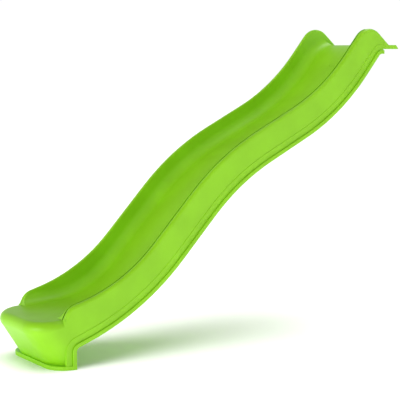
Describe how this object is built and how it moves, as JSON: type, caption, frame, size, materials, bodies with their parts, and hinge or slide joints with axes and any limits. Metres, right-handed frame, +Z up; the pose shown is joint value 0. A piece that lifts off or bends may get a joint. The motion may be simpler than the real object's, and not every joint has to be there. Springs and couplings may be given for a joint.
{
  "type": "wavy play slide",
  "caption": "Straight wavy playground slide: hollow twin-skin plastic trough with raised ears, a top lip that screws to a deck, an open run-out and a flanged foot.",
  "frame": {"origin": "middle of the line of two fixing holes, on the underside of the top lip, level with the deck that it rests on", "axes": "+X towards the platform, -X down the slide, +Y across it, +Z up"},
  "size_m": [2.2622, 0.502, 1.6093],
  "materials": {
    "moulding": "satin moulded HDPE, lime green",
    "bush": "satin black nylon",
    "spigot": "satin moulded, lime green",
    "washer": "matt black rubber",
    "cap": "satin black polyethylene"
  },
  "bodies": {
    "root": {"upper_skin": "moulding", "under_skin": "moulding", "lip_bushes": "bush", "water_spigot": "spigot", "spigot_washer": "washer", "spigot_nut": "spigot", "spigot_cap": "cap", "foot_plug": "cap"}
  },
  "joints": []
}
